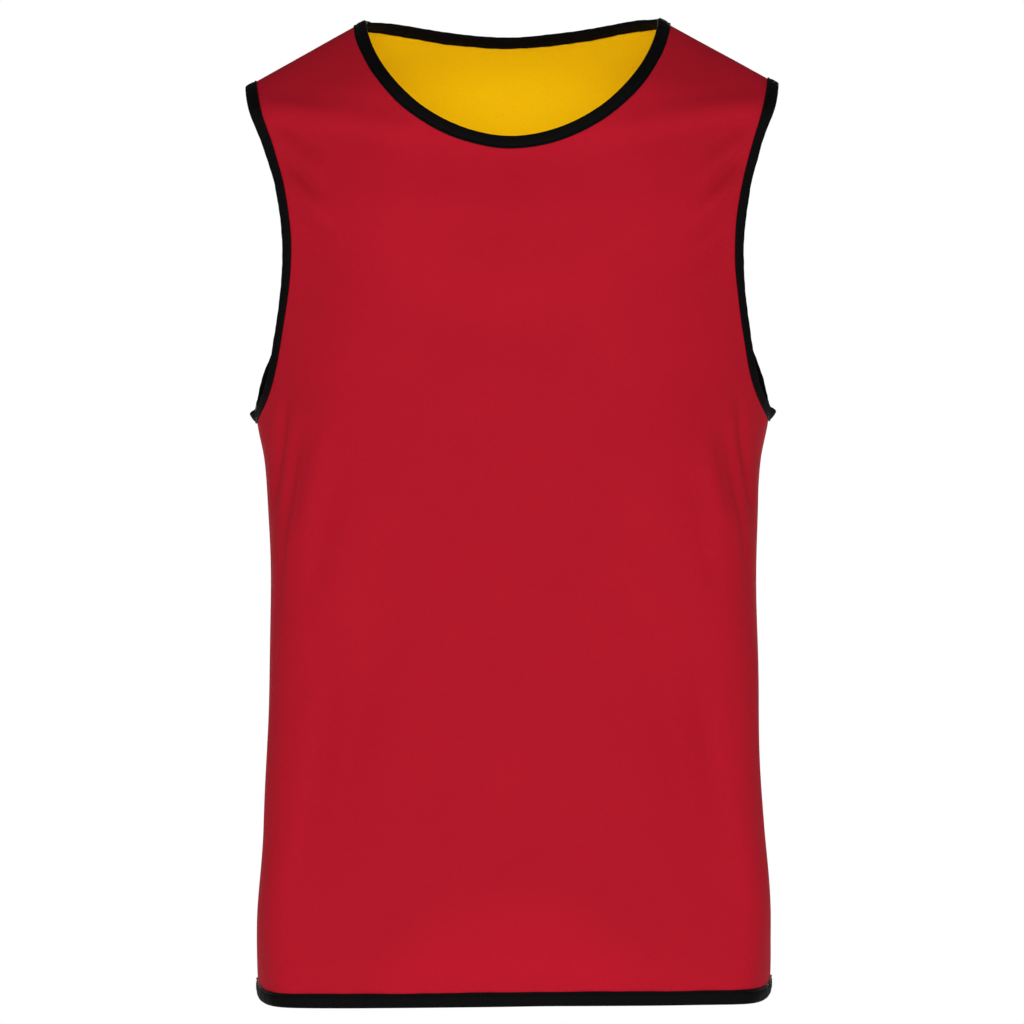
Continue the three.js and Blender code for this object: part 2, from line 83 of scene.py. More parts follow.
# Half width of the cloth between the armhole bindings
ARMHOLE = columns("z front back", [
    (-0.310, 0.1959, 0.1959),
    (-0.303, 0.1910, 0.1948),
    (-0.294, 0.1862, 0.1930),
    (-0.280, 0.1810, 0.1898),
    (-0.250, 0.1746, 0.1786),
    (-0.220, 0.1700, 0.1712),
    (-0.190, 0.1676, 0.1680),
    (-0.160, 0.1686, 0.1688),
    (-0.130, 0.1734, 0.1734),
    (-0.100, 0.1820, 0.1820),
    (-0.075, 0.1902, 0.1902),
    (-0.047, 0.1960, 0.1960),
    (0.040, 0.2060, 0.2060),
])

# Heights of the hem, of the armhole's bottom and of the place where its curve turns up, then
# the point of the neck and the height of the shoulder's tip
HEM_EDGE_Z = -0.737
UNDERARM_Z = -0.310
CORNER_Z = -0.282
NECK_X, NECK_Z = 0.121, -0.006
TIP_Z = -0.047

# The shoulder's line falls by its slope. The cloth rolls over it and then falls away from it,
# and a high blend joins it tightly to the body.
SHOULDER_SLOPE = 0.554
SHOULDER_ROLL = {"front": 0.022, "back": 0.030}
SHOULDER_FALL = {"front": 0.85, "back": 1.15}
SHOULDER_BLEND = 9

# Depth and roundness of the neckline, and the line across the bib where its shoulders start
NECK_DROP = {"front": 0.100, "back": 0.0100}
NECK_POWER = {"front": 0.625, "back": 2.3}
YOKE_ARMHOLE_Z, YOKE_NECK_Z = -0.086, -0.057
BACK_YOKE_X = 0.112

SIDES = {"front": -1, "back": 1}
LEAST = 1e-9


def curve_through(places, values, at):
    """A smooth curve through numbers, or points in space, read at places along it."""
    values = values.T
    slopes = np.diff(values) / np.diff(places)
    inner = (slopes[..., :-1] + slopes[..., 1:]) / 2
    slopes = np.concatenate([slopes[..., :1], inner, slopes[..., -1:]], -1)
    i = np.clip(np.searchsorted(places, at) - 1, 0, len(places) - 2)
    step = places[i + 1] - places[i]
    s = (at - places[i]) / step
    level = values[..., i] * (1 + 2 * s) * (1 - s) ** 2
    level = level + values[..., i + 1] * s * s * (3 - 2 * s)
    turn = step * s * (1 - s) * (slopes[..., i] * (1 - s) - slopes[..., i + 1] * s)
    return (level + turn).T


def smooth_through(table, column, at, key="z"):
    """The smooth curve through one column of a table, along its key column."""
    return curve_through(table[key], table[column], at)


def half_width(z):
    return smooth_through(BODY, "half_width", z)


def ridge_height(x):
    """Height of the shoulder line, carried on smoothly over the neck opening."""
    inside = NECK_X - np.abs(x)
    rise = np.where(inside < 0, inside, inside * (1 - inside / (2 * NECK_X)))
    return NECK_Z + SHOULDER_SLOPE * rise


def cloth_points(side, x, z):
    """Points of the cloth at distances across and heights, seen from the front."""
    below = np.maximum(ridge_height(x) - z, 0)
    across = np.minimum(np.abs(x) / half_width(z), 1)
    depth, power, root = (smooth_through(BODY, column, z) for column in (side, "power", "root"))
    body = depth * (1 - across**power) ** root
    shoulder = np.sqrt((SHOULDER_FALL[side] * below) ** 2 + 2 * SHOULDER_ROLL[side] * below)
    parts = np.maximum([body, shoulder], LEAST) ** -SHOULDER_BLEND
    y = SIDES[side] * parts.sum(0) ** (-1 / SHOULDER_BLEND)
    return np.stack([x, y, z], -1)


def armhole_x(side, z):
    return smooth_through(ARMHOLE, side, z)


# Threads are spaced by an angle, 0 at the side seam and a right angle in the middle
THREAD_SPREAD = 2.3


def angle_at(x, z):
    return np.arccos(np.minimum(1, x / half_width(z)) ** (THREAD_SPREAD / 2))


def edge_angle(side, z):
    return angle_at(armhole_x(side, z), z)


def neckline_z(side, x):
    inside = np.maximum(0, 1 - (x / NECK_X) ** 2)
    return NECK_Z - NECK_DROP[side] * inside ** NECK_POWER[side]


def neckline_x(side, z):
    share = np.maximum(0, NECK_Z - z) / NECK_DROP[side]
    return NECK_X * np.sqrt(1 - share ** (1 / NECK_POWER[side]))


# Threads of the grid that the cloth is built on are counted from a side seam: the first ones
# end on the bottom of an armhole, the next on a shoulder seam and the last on the neckline.
AT_ARMHOLE, AT_NECK, AT_MIDDLE = 4, 10, 15
YOKE_NECK_X = {"front": neckline_x("front", YOKE_NECK_Z), "back": BACK_YOKE_X}


def thread_x(side, c, z):
    """Distance from the middle at which a thread stands at a height."""
    if c < AT_ARMHOLE:
        angle = edge_angle(side, CORNER_Z) * c / AT_ARMHOLE
    else:
        yoke_edge = edge_angle(side, YOKE_NECK_Z)
        neck = (angle_at(YOKE_NECK_X[side], YOKE_NECK_Z) - yoke_edge) / (np.pi - 2 * yoke_edge)
        share = neck * (c - AT_ARMHOLE) / (AT_NECK - AT_ARMHOLE)
        if c > AT_NECK:
            share = neck + (0.5 - neck) * (c - AT_NECK) / (AT_MIDDLE - AT_NECK)
        edge = edge_angle(side, np.maximum(z, CORNER_Z))
        angle = edge + share * (np.pi - 2 * edge)
    return half_width(z) * np.maximum(0, np.cos(angle)) ** (2 / THREAD_SPREAD)


def thread_top(side, c):
    """Height at which a thread meets the curve it ends on, found by halving."""
    low, high = UNDERARM_Z, CORNER_Z if c < AT_ARMHOLE else NECK_Z
    if c == 0:
        return low
    while high - low > LEAST:
        middle = (low + high) / 2
        x = thread_x(side, c, middle)
        past = x > armhole_x(side, middle) if c < AT_ARMHOLE else middle > neckline_z(side, x)
        low, high = (low, middle) if past else (middle, high)
    return low


def yoke_z(side, c):
    """Height of the line where the shoulders start, and on the front of the neckline below it."""
    share = (c - AT_ARMHOLE) / (AT_NECK - AT_ARMHOLE)
    if share <= 1:
        return YOKE_ARMHOLE_Z + (YOKE_NECK_Z - YOKE_ARMHOLE_Z) * share
    return thread_top(side, c) if side == "front" else YOKE_NECK_Z


def between(a, b, share):
    """Points along the straight line from a to b."""
    return a + (np.asarray(b) - a) * np.reshape(share, (-1, 1))


def shoulder_thread(side, c, up):
    """A thread over the shoulder, from the yoke line up to the ridge or the back neckline."""

    def foot(c):
        z = yoke_z(side, c)
        return np.array([thread_x(side, c, z), z])

    def ridge(share):
        x = tip_x + (NECK_X - tip_x) * share
        return np.array([x, ridge_height(x)])

    def straight(c, share):
        return between(foot(c), ridge(share), up)

    share = (c - AT_ARMHOLE) / (AT_NECK - AT_ARMHOLE)
    if share > 1:
        x = NECK_X * (AT_MIDDLE - c) / (AT_MIDDLE - AT_NECK)
        return between(foot(c), (x, neckline_z(side, x)), up)
    tip_x = armhole_x(side, TIP_Z)
    z = YOKE_ARMHOLE_Z + (ridge(0)[1] - YOKE_ARMHOLE_Z) * up
    at_armhole = np.stack([armhole_x(side, z), z], -1) - straight(AT_ARMHOLE, 0)
    z = YOKE_NECK_Z + (NECK_Z - YOKE_NECK_Z) * up
    at_neck = np.stack([neckline_x("front", z), z], -1) - straight(AT_NECK, 1)
    if side == "back":
        at_neck = 0
    return straight(c, share) + at_armhole * (1 - share) + at_neck * share


# How closely the grid is drawn. Threads crowd towards the side seams, where the cloth turns in.
TUBE_ROWS, CHEST_ROWS, YOKE_ROWS = 92, 44, 20
SIDE_THREADS, SHOULDER_THREADS, NECK_THREADS = 20, 34, 22
SEAM_CROWDING = 1.6

threads = np.concatenate([
    AT_ARMHOLE * np.linspace(0, 1, SIDE_THREADS + 1)[:-1] ** SEAM_CROWDING,
    np.linspace(AT_ARMHOLE, AT_NECK, SHOULDER_THREADS + 1)[:-1],
    np.linspace(AT_NECK, AT_MIDDLE, NECK_THREADS + 1),
])
THREADS = 2 * len(threads) - 1
CHEST_TOP = TUBE_ROWS + CHEST_ROWS
ROWS = CHEST_TOP + YOKE_ROWS
ARMHOLE_THREAD = SIDE_THREADS
NECK_THREAD = SIDE_THREADS + SHOULDER_THREADS


def smooth(s):
    s = np.clip(s, 0, 1)
    return s * s * (3 - 2 * s)


def thread_line(side, c, half):
    """One thread from the hem up, as distances from the middle and heights, a row for each row
    of the grid. Rows in an armhole or the neck opening stay empty."""
    line = np.full((ROWS + 1, 2), np.nan)
    top = thread_top(side, c) if c < AT_ARMHOLE else CORNER_Z
    sag = smooth_through(HEM_SAG, side, half * thread_x(side, c, HEM_EDGE_Z), "x") * smooth(c)
    z = np.linspace(HEM_EDGE_Z - sag, top, TUBE_ROWS + 1)
    if c >= AT_ARMHOLE:
        z = np.append(z, np.linspace(top, yoke_z(side, c), CHEST_ROWS + 1)[1:])
    line[:len(z)] = np.stack([thread_x(side, c, z), z], -1)
    if AT_ARMHOLE <= c <= AT_NECK or (side == "back" and c > AT_NECK):
        up = 1 - (1 - np.arange(1, YOKE_ROWS + 1) / YOKE_ROWS) ** 2
        line[CHEST_TOP + 1:] = shoulder_thread(side, c, up)
    return line


# The middle surface between the red and the yellow cloth, as one mesh: grid points first, then
# the edge that runs on under the bindings. Seam points are shared by the front and the back.
points = np.empty((0, 3))
grids = {}
quads = {"front": [], "back": []}


def add_points(more):
    global points
    points = np.vstack([points, more])
    return np.arange(len(points) - len(more), len(points))


for side in SIDES:
    grid = np.full((ROWS + 1, THREADS), -1)
    for j in range(THREADS):
        c = threads[min(j, THREADS - 1 - j)]
        half = 1 if j >= len(threads) else -1
        line = thread_line(side, c, half)
        rows = np.flatnonzero(~np.isnan(line[:, 0]))
        places = cloth_points(side, half * line[rows, 0], line[rows, 1])
        on_seam = (rows == ROWS) & (c <= AT_NECK) | (c == 0)
        places[on_seam, 1] = 0
        if side == "back":
            grid[rows[on_seam], j] = grids["front"][rows[on_seam], j]
            rows, places = rows[~on_seam], places[~on_seam]
        grid[rows, j] = add_points(places)
    grids[side] = grid
    corners = np.stack([grid[:-1, :-1], grid[:-1, 1:], grid[1:, 1:], grid[1:, :-1]], -1)
    corners = corners.reshape(-1, 4)
    corners = corners[(corners >= 0).all(1)]
    quads[side].append(corners if side == "front" else corners[:, ::-1])


def unit(vectors):
    return vectors / np.linalg.norm(vectors, axis=-1, keepdims=True)


def point_normals():
    """Mean direction of the faces round each point, level across a seam."""
    sums = np.zeros_like(points)
    corners = np.vstack(quads["front"] + quads["back"])
    a, b, c, d = (points[corners[:, k]] for k in range(4))
    direction = unit(np.cross(c - a, d - b))
    for k in range(4):
        np.add.at(sums, corners[:, k], direction)
    sums[points[:, 1] == 0, 1] = 0
    return unit(sums)


# Folds: each is a curve of three points on the cloth, seen from the front, with its half width
# and its depth. A trough has a positive depth and a ridge a negative one.
FOLD_COLUMNS = "x0 z0 x1 z1 x2 z2 width depth"
FOLDS = {
    "front": columns(FOLD_COLUMNS, [
        # Down from the underarms
        (-0.170, -0.286, -0.177, -0.336, -0.180, -0.385, 0.010, 0.0032),
        (-0.154, -0.300, -0.165, -0.350, -0.169, -0.400, 0.011, 0.0026),
        (-0.125, -0.325, -0.141, -0.389, -0.160, -0.475, 0.017, 0.0030),
        (-0.103, -0.430, -0.124, -0.570, -0.163, -0.680, 0.027, 0.0050),
        (-0.132, -0.450, -0.149, -0.580, -0.172, -0.690, 0.019, -0.0055),
        (0.171, -0.286, 0.177, -0.342, 0.181, -0.390, 0.010, 0.0030),
        (0.155, -0.300, 0.163, -0.345, 0.168, -0.392, 0.011, 0.0028),
        (0.128, -0.328, 0.141, -0.391, 0.152, -0.455, 0.017, 0.0026),
        (0.101, -0.430, 0.122, -0.575, 0.170, -0.690, 0.028, 0.0046),
        (0.133, -0.450, 0.150, -0.575, 0.173, -0.685, 0.019, -0.0052),
        # Narrow creases inside those
        (-0.170, -0.278, -0.177, -0.335, -0.181, -0.385, 0.0046, 0.0018),
        (-0.155, -0.292, -0.174, -0.365, -0.177, -0.490, 0.0050, 0.0020),
        (-0.126, -0.325, -0.141, -0.389, -0.160, -0.475, 0.0075, 0.0006),
        (-0.140, -0.306, -0.150, -0.350, -0.158, -0.410, 0.0065, -0.0012),
        (-0.112, -0.340, -0.128, -0.400, -0.140, -0.470, 0.0120, -0.0006),
        (-0.103, -0.430, -0.124, -0.570, -0.163, -0.680, 0.016, 0.0014),
        (-0.132, -0.450, -0.149, -0.580, -0.172, -0.690, 0.012, -0.0014),
        (0.170, -0.280, 0.176, -0.332, 0.180, -0.388, 0.0046, 0.0018),
        (0.156, -0.292, 0.174, -0.362, 0.177, -0.480, 0.0050, 0.0019),
        (0.128, -0.328, 0.142, -0.391, 0.157, -0.470, 0.0075, 0.0007),
        (0.141, -0.308, 0.152, -0.352, 0.159, -0.404, 0.0065, -0.0012),
        (0.114, -0.344, 0.129, -0.402, 0.141, -0.466, 0.0120, -0.0006),
        (0.101, -0.430, 0.122, -0.575, 0.170, -0.690, 0.017, 0.0013),
        (0.133, -0.450, 0.150, -0.575, 0.173, -0.685, 0.012, -0.0013),
        # In from the armholes across the chest
        (-0.184, -0.076, -0.166, -0.094, -0.142, -0.118, 0.011, 0.0022),
        (-0.192, -0.082, -0.162, -0.106, -0.134, -0.128, 0.0060, -0.0024),
        (-0.190, -0.092, -0.164, -0.121, -0.142, -0.144, 0.0052, 0.0026),
        (-0.188, -0.106, -0.160, -0.138, -0.134, -0.160, 0.0060, -0.0022),
        (-0.186, -0.118, -0.157, -0.154, -0.130, -0.178, 0.0060, 0.0026),
        (-0.180, -0.142, -0.156, -0.174, -0.130, -0.206, 0.0065, 0.0024),
        (-0.176, -0.172, -0.158, -0.202, -0.140, -0.236, 0.0080, 0.0018),
        (0.184, -0.076, 0.165, -0.093, 0.141, -0.116, 0.011, 0.0020),
        (0.192, -0.083, 0.163, -0.107, 0.136, -0.128, 0.0060, -0.0023),
        (0.190, -0.093, 0.163, -0.121, 0.140, -0.146, 0.0052, 0.0025),
        (0.188, -0.107, 0.159, -0.139, 0.136, -0.160, 0.0060, -0.0021),
        (0.186, -0.120, 0.157, -0.153, 0.132, -0.180, 0.0060, 0.0025),
        (0.180, -0.144, 0.155, -0.176, 0.132, -0.204, 0.0065, 0.0023),
        (0.176, -0.174, 0.157, -0.204, 0.141, -0.234, 0.0080, 0.0017),
        # Along the front of each shoulder, where the cloth turns down to the chest
        (-0.218, -0.064, -0.138, -0.080, -0.040, -0.096, 0.0085, -0.0020),
        (-0.214, -0.078, -0.136, -0.094, -0.060, -0.108, 0.0090, 0.0008),
        (0.218, -0.064, 0.138, -0.079, 0.040, -0.096, 0.0085, -0.0020),
        (0.214, -0.078, 0.136, -0.093, 0.060, -0.108, 0.0090, 0.0008),
    ]),
    "back": columns(FOLD_COLUMNS, [
        # Down from the underarms, and one below the shoulder blades
        (-0.171, -0.288, -0.177, -0.340, -0.181, -0.394, 0.011, 0.0032),
        (-0.140, -0.305, -0.154, -0.380, -0.166, -0.462, 0.016, 0.0032),
        (-0.096, -0.400, -0.118, -0.540, -0.152, -0.676, 0.028, 0.0050),
        (-0.128, -0.440, -0.146, -0.570, -0.168, -0.670, 0.020, -0.0040),
        (0.170, -0.288, 0.177, -0.345, 0.180, -0.386, 0.011, 0.0030),
        (0.137, -0.312, 0.150, -0.392, 0.165, -0.484, 0.017, 0.0034),
        (0.090, -0.415, 0.113, -0.560, 0.150, -0.690, 0.028, 0.0046),
        (0.126, -0.455, 0.144, -0.580, 0.168, -0.680, 0.020, -0.0042),
        (-0.030, -0.330, -0.010, -0.430, -0.022, -0.560, 0.030, 0.0026),
        # Narrow creases inside those
        (-0.169, -0.284, -0.175, -0.330, -0.179, -0.382, 0.0040, 0.0012),
        (-0.138, -0.300, -0.152, -0.375, -0.164, -0.452, 0.0056, 0.0014),
        (0.169, -0.286, 0.175, -0.338, 0.178, -0.376, 0.0040, 0.0012),
        (0.136, -0.306, 0.149, -0.388, 0.163, -0.470, 0.0056, 0.0015),
        # In from the armholes across the shoulder blades
        (-0.182, -0.080, -0.160, -0.104, -0.132, -0.134, 0.012, 0.0024),
        (-0.180, -0.100, -0.158, -0.126, -0.136, -0.150, 0.0065, -0.0012),
        (-0.176, -0.118, -0.156, -0.146, -0.134, -0.172, 0.0062, 0.0013),
        (0.182, -0.080, 0.161, -0.102, 0.134, -0.130, 0.012, 0.0022),
        (0.180, -0.098, 0.158, -0.124, 0.138, -0.148, 0.0065, -0.0012),
        (0.177, -0.116, 0.156, -0.142, 0.132, -0.170, 0.0062, 0.0014),
    ]),
}

# Each fold is followed in short steps and fades over a share of its length at both ends. It also
# fades to nothing on a seam and on an armhole's edge, over the free reach of each.
FOLD_STEPS = 24
FOLD_FADE = 0.35
SEAM_FREE = 0.014
EDGE_FREE = 0.011

# The low lip beside a fold: its height as a share of the fold's depth, and its place and reach
# in half widths of the fold
LIP_HEIGHT, LIP_PLACE, LIP_REACH = 0.18, 1.8, 0.7


def off_armhole(side, places):
    """From 0 on an armhole's edge to 1 a short way in from it."""
    above = places[:, 2] > CORNER_Z
    inside = armhole_x(side, places[:, 2]) - np.abs(places[:, 0])
    return np.where(above, smooth(inside / EDGE_FREE), 1)


def fold_depth(side, places):
    """How far the folds of a side draw the cloth in at its points."""
    total = np.zeros(len(places))
    s = np.linspace(0, 1, FOLD_STEPS + 1)
    every = np.arange(len(places))
    for x0, z0, x1, z1, x2, z2, width, depth in zip(*FOLDS[side].values()):
        x, z = ((1 - s) ** 2 * a + 2 * s * (1 - s) * b + s * s * c
                for a, b, c in ((x0, x1, x2), (z0, z1, z2)))
        line = cloth_points(side, x, z)
        run = np.diff(line, axis=0)
        offset = places[:, None] - line[:-1]
        share = np.clip((offset * run).sum(-1) / (run**2).sum(-1), 0, 1)
        distances = np.linalg.norm(offset - share[..., None] * run, axis=-1)
        nearest = distances.argmin(1)
        across = distances[every, nearest] / width
        along = (nearest + share[every, nearest]) / FOLD_STEPS
        fade = smooth(along / FOLD_FADE) * smooth((1 - along) / FOLD_FADE)
        lip = LIP_HEIGHT * np.exp(-((across - LIP_PLACE) / LIP_REACH) ** 2)
        total += depth * fade * (np.exp(-(across**2)) - lip)
    return total * smooth(np.abs(places[:, 1]) / SEAM_FREE) * off_armhole(side, places)


# Slow unevenness of cloth that hangs: waves across the cloth, with their lengths and heights
HANG = columns("across up phase depth", [
    (0.210, 0.310, 0.4, 0.0006),
    (0.130, -0.420, 2.1, 0.0005),
    (-0.090, 0.170, 4.0, 0.0003),
    (0.300, 0.120, 1.3, 0.0003),
    (-0.060, 0.240, 5.2, 0.0002),
])


def hang(side, places):
    """Height of the slow unevenness at points of the cloth."""
    x, y, z = places.T
    total = np.zeros(len(places))
    for across, up, phase, depth in zip(*HANG.values()):
        turn = 2 * np.pi * (x / across + z / up) + phase * SIDES[side]
        total += depth * np.sin(turn)
    return total * smooth(np.abs(y) / SEAM_FREE)


flat_normals = point_normals()
for side, grid in grids.items():
    own = np.unique(grid[grid >= 0])
    lift = hang(side, points[own]) - fold_depth(side, points[own])
    points[own] += flat_normals[own] * lift[:, None]

# Each bound edge as a ring of grid points, the opening on its left seen from outside. The cloth
# runs on under the binding, level with itself and square to the edge, and ends short of the
# bend. Its direction is evened along the edge, and it flares out at the bottom of an armhole.
BINDING_WIDTH = 0.0103
HEM_BINDING_WIDTH = 0.011
BEND_REACH = 0.0013
EVENING_ROUNDS = 3
UNDERARM_FLARE, FLARE_REACH = 0.5, 0.009


def neck_edge(side):
    grid = grids[side]
    last = THREADS - 1 - NECK_THREAD
    if side == "back":
        return grid[ROWS, NECK_THREAD:last + 1]
    up = grid[CHEST_TOP + 1:]
    bottom = grid[CHEST_TOP, NECK_THREAD:last + 1]
    return np.concatenate([up[::-1, NECK_THREAD], bottom, up[:, last]])


def armhole_edge(side, half):
    grid = grids[side] if half < 0 else grids[side][:, ::-1]
    return np.concatenate([grid[TUBE_ROWS, :ARMHOLE_THREAD], grid[TUBE_ROWS:, ARMHOLE_THREAD]])


def ring(front, back):
    """The points of a ring, and the side that each stretch to the next point lies on."""
    sides = ["front"] * (len(front) - 1) + ["back"] * (len(back) - 1)
    return np.concatenate([front[:-1], back[:-1]]), np.array(sides)


RINGS = {
    "hem": ring(grids["front"][0][::-1], grids["back"][0]),
    "neck": ring(neck_edge("front"), neck_edge("back")[::-1]),
    "armhole_right": ring(armhole_edge("front", -1), armhole_edge("back", -1)[::-1]),
    "armhole_left": ring(armhole_edge("front", 1)[::-1], armhole_edge("back", 1)),
}
grid_normals = point_normals()
edges = {}
for name, (inner, sides) in RINGS.items():
    start = points[inner]
    width = HEM_BINDING_WIDTH if name == "hem" else BINDING_WIDTH
    out = -np.cross(np.roll(start, -1, 0) - np.roll(start, 1, 0), grid_normals[inner])
    if name == "hem":
        out = np.tile([0.0, 0.0, -1.0], (len(inner), 1))
    for _ in range(EVENING_ROUNDS):
        out = unit(np.roll(out, 1, 0) + unit(out) + np.roll(out, -1, 0))
    if name.startswith("armhole"):
        flare = UNDERARM_FLARE * np.exp(-((start[:, 1] / FLARE_REACH) ** 2))
        flare[start[:, 2] > CORNER_Z] = 0
        out[:, 0] += np.sign(start[:, 0]) * flare
    out[start[:, 1] == 0, 1] = 0
    out = unit(out)
    outer = add_points(start + out * (width - BEND_REACH))
    strip = np.stack([inner, np.roll(inner, -1), np.roll(outer, -1), outer], -1)
    for side in SIDES:
        quads[side].append(strip[sides == side])
    edges[name] = {"inner": inner, "outer": outer, "out": out}

# The bib hangs a touch askew, its right side higher
LEAN = 0.0035
points[:, 2] += LEAN * points[:, 0]
normals = point_normals()

# Places on the flat cloth, before it was sewn: across from the middle of the piece and up from
# the hem, with the distance from the nearest bound edge
flat_places = np.zeros_like(points)
for side, grid in grids.items():
    for half in (-1, 1):
        part = grid[:, :len(threads)] if half < 0 else grid[:, :len(threads) - 2:-1]
        for i, row in enumerate(part):
            line = row[row >= 0][::-1]
            steps = np.linalg.norm(np.diff(points[line], axis=0), axis=1)
            first = half * points[line[0], 0]
            if i > CHEST_TOP and side == "front":
                below = part[i - 1, NECK_THREAD]
                first += half * (flat_places[below, 0] - points[below, 0])
            flat_places[line, 0] = half * (first + np.append(0, steps.cumsum()))
        for column in part.T:
            line = column[column >= 0]
            steps = np.linalg.norm(np.diff(points[line], axis=0), axis=1)
            flat_places[line, 1] = np.append(0, steps.cumsum())
for edge in edges.values():
    flat_places[edge["outer"]] = flat_places[edge["inner"]]
bound = np.concatenate([points[edge["inner"]] for edge in edges.values()])
for i, place in enumerate(points):
    flat_places[i, 2] = np.sqrt(((bound - place) ** 2).sum(1).min())

# Painted light: the cloth's colour is painted a little lighter over the chest and above the hem,
# standing in for the light that falls more brightly there. The middle and reach of each soft
# patch of painted light, seen from the front, and how much lighter each side is painted there. A
# patch ends a little past its reach and fades over half of it.
PAINTED_LIGHT_PATCHES = columns("x z reach_x reach_z front back", [
    (0.000, -0.152, 0.120, 0.085, 0.060, 0.035),
    (0.000, -0.120, 0.095, 0.052, 0.045, 0.000),
    (-0.113, -0.215, 0.065, 0.090, 0.030, 0.010),
    (0.113, -0.215, 0.065, 0.090, 0.030, 0.010),
    (0.000, -0.752, 0.095, 0.082, 0.090, 0.050),
    (0.000, -0.740, 0.176, 0.032, 0.035, 0.025),
])
PAINTED_LIGHT_END, PAINTED_LIGHT_FADE = 1.25, 0.5
painted_light_tone = {}
for side in SIDES:
    painted_light_tone[side] = np.ones(len(points))
    for x, z, reach_x, reach_z, painted_light_amount in zip(
            *(PAINTED_LIGHT_PATCHES[column] for column in ("x", "z", "reach_x", "reach_z", side))):
        apart = np.hypot((points[:, 0] - x) / reach_x, (points[:, 2] - z) / reach_z)
        painted_light_tone[side] += painted_light_amount * smooth((PAINTED_LIGHT_END - apart) / PAINTED_LIGHT_FADE)

# How far a cloth's two faces lie from the middle surface, the groove along a seam, and the gap
# that parts the front from the back in it
CLOTH_NEAR, CLOTH_FAR = 0.0003, 0.0009
SEAM_GROOVE, SEAM_GROOVE_WIDTH = 0.00045, 0.0018
SEAM_GAP = 0.0001
SHARP_EDGE = math.radians(60)


def mesh_piece(name, vertices, faces, material):
    """A smooth mesh piece in the bib's frame."""
    mesh = bpy.data.meshes.new(name)
    mesh.from_pydata(vertices.tolist(), [], faces)
    mesh.shade_smooth()
    mesh.materials.append(material)
    piece = bpy.data.objects.new(name, mesh)
    bpy.context.scene.collection.objects.link(piece)
    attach(piece, "root")
    return piece


def keep_at_points(piece, name, kind, field, values):
    """Values kept at a piece's points for its material, such as places on the flat cloth."""
    kept = piece.data.attributes.new(name, kind, "POINT")
    kept.data.foreach_set(field, values.astype(np.float32).ravel())


def cloth_layer(name, side, near, far, material, node):
    """One layer of one side: both faces of the cloth, closed round its edge. The cloth is drawn
    in along the seams, where its allowance lies behind it."""
    corners = np.vstack(quads[side])
    used, corners = np.unique(corners, return_inverse=True)
    corners = corners.reshape(-1, 4)
    seam_distance = np.abs(points[used, 1])
    groove = np.sign(far) * SEAM_GROOVE * np.exp(-((seam_distance / SEAM_GROOVE_WIDTH) ** 2))
    on_seam = seam_distance == 0
    faces = []
    for offset in (far - groove, np.full(len(used), near)):
        face = points[used] + normals[used] * offset[:, None]
        face[on_seam, 1] = SIDES[side] * SEAM_GAP / 2
        faces.append(face)
    count = len(used)
    pairs = np.vstack([corners[:, [k, (k + 1) % 4]] for k in range(4)])
    known = {(a, b) for a, b in pairs.tolist()}
    rim = np.array([(b, a) for a, b in pairs.tolist() if (b, a) not in known])
    rim = np.hstack([rim, rim[:, ::-1] + count])
    around = np.vstack([corners, corners[:, ::-1] + count, rim])
    if far < near:
        around = around[:, ::-1]
    piece = mesh_piece(name, np.vstack(faces), around.tolist(), material)
    piece.data.set_sharp_from_angle(angle=SHARP_EDGE)
    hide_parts(node)
    places = np.tile(flat_places[used], (2, 1))
    keep_at_points(piece, "flat_place", "FLOAT_VECTOR", "vector", places)
    # Painted light: the lighter patches over the chest and above the hem, kept on both faces
    keep_at_points(piece, "painted_lightness", "FLOAT", "value", np.tile(painted_light_tone[side][used], 2))
    return piece


def feed(tree, node, inputs):
    """Sets a node's inputs to values, or links them to sockets."""
    for name, value in inputs.items():
        if isinstance(value, bpy.types.NodeSocket):
            tree.links.new(value, node.inputs[name])
        else:
            node.inputs[name].default_value = value


def put(tree, kind, inputs=None, **settings):
    """A node with its settings and its inputs."""
    node = tree.nodes.new(kind)
    for name, value in settings.items():
        setattr(node, name, value)
    feed(tree, node, inputs or {})
    return node


def new_material(name, plain_colour):
    """A material with its tree and its shader."""
    material = bpy.data.materials.new(name)
    material.use_nodes = True
    material.diffuse_color = (*plain_colour, 1)
    return material, material.node_tree, material.node_tree.nodes["Principled BSDF"]


def work_out(tree, operation, *values):
    """The result of one sum on numbers or sockets."""
    inputs = dict(enumerate(values))
    return put(tree, "ShaderNodeMath", inputs, operation=operation).outputs[0]


def node_group(name, inputs, outputs):
    """An empty node group with named sockets, and its two ends."""
    group = bpy.data.node_groups.new(name, "ShaderNodeTree")
    for label, (kind, value) in inputs.items():
        socket = group.interface.new_socket(label, in_out="INPUT", socket_type=kind)
        if value is not None:
            socket.default_value = value
    for label, kind in outputs.items():
        group.interface.new_socket(label, in_out="OUTPUT", socket_type=kind)
    return group, group.nodes.new("NodeGroupInput"), group.nodes.new("NodeGroupOutput")


FLOAT, VECTOR = "NodeSocketFloat", "NodeSocketVector"

# Slant of a stitch's two legs, and the share of its height that the yarn's round makes
KNIT_SLANT, KNIT_ROUND = 1.3, 0.3

# How much the dye's specks are drawn out along the knit: less is longer
STREAK = 0.45


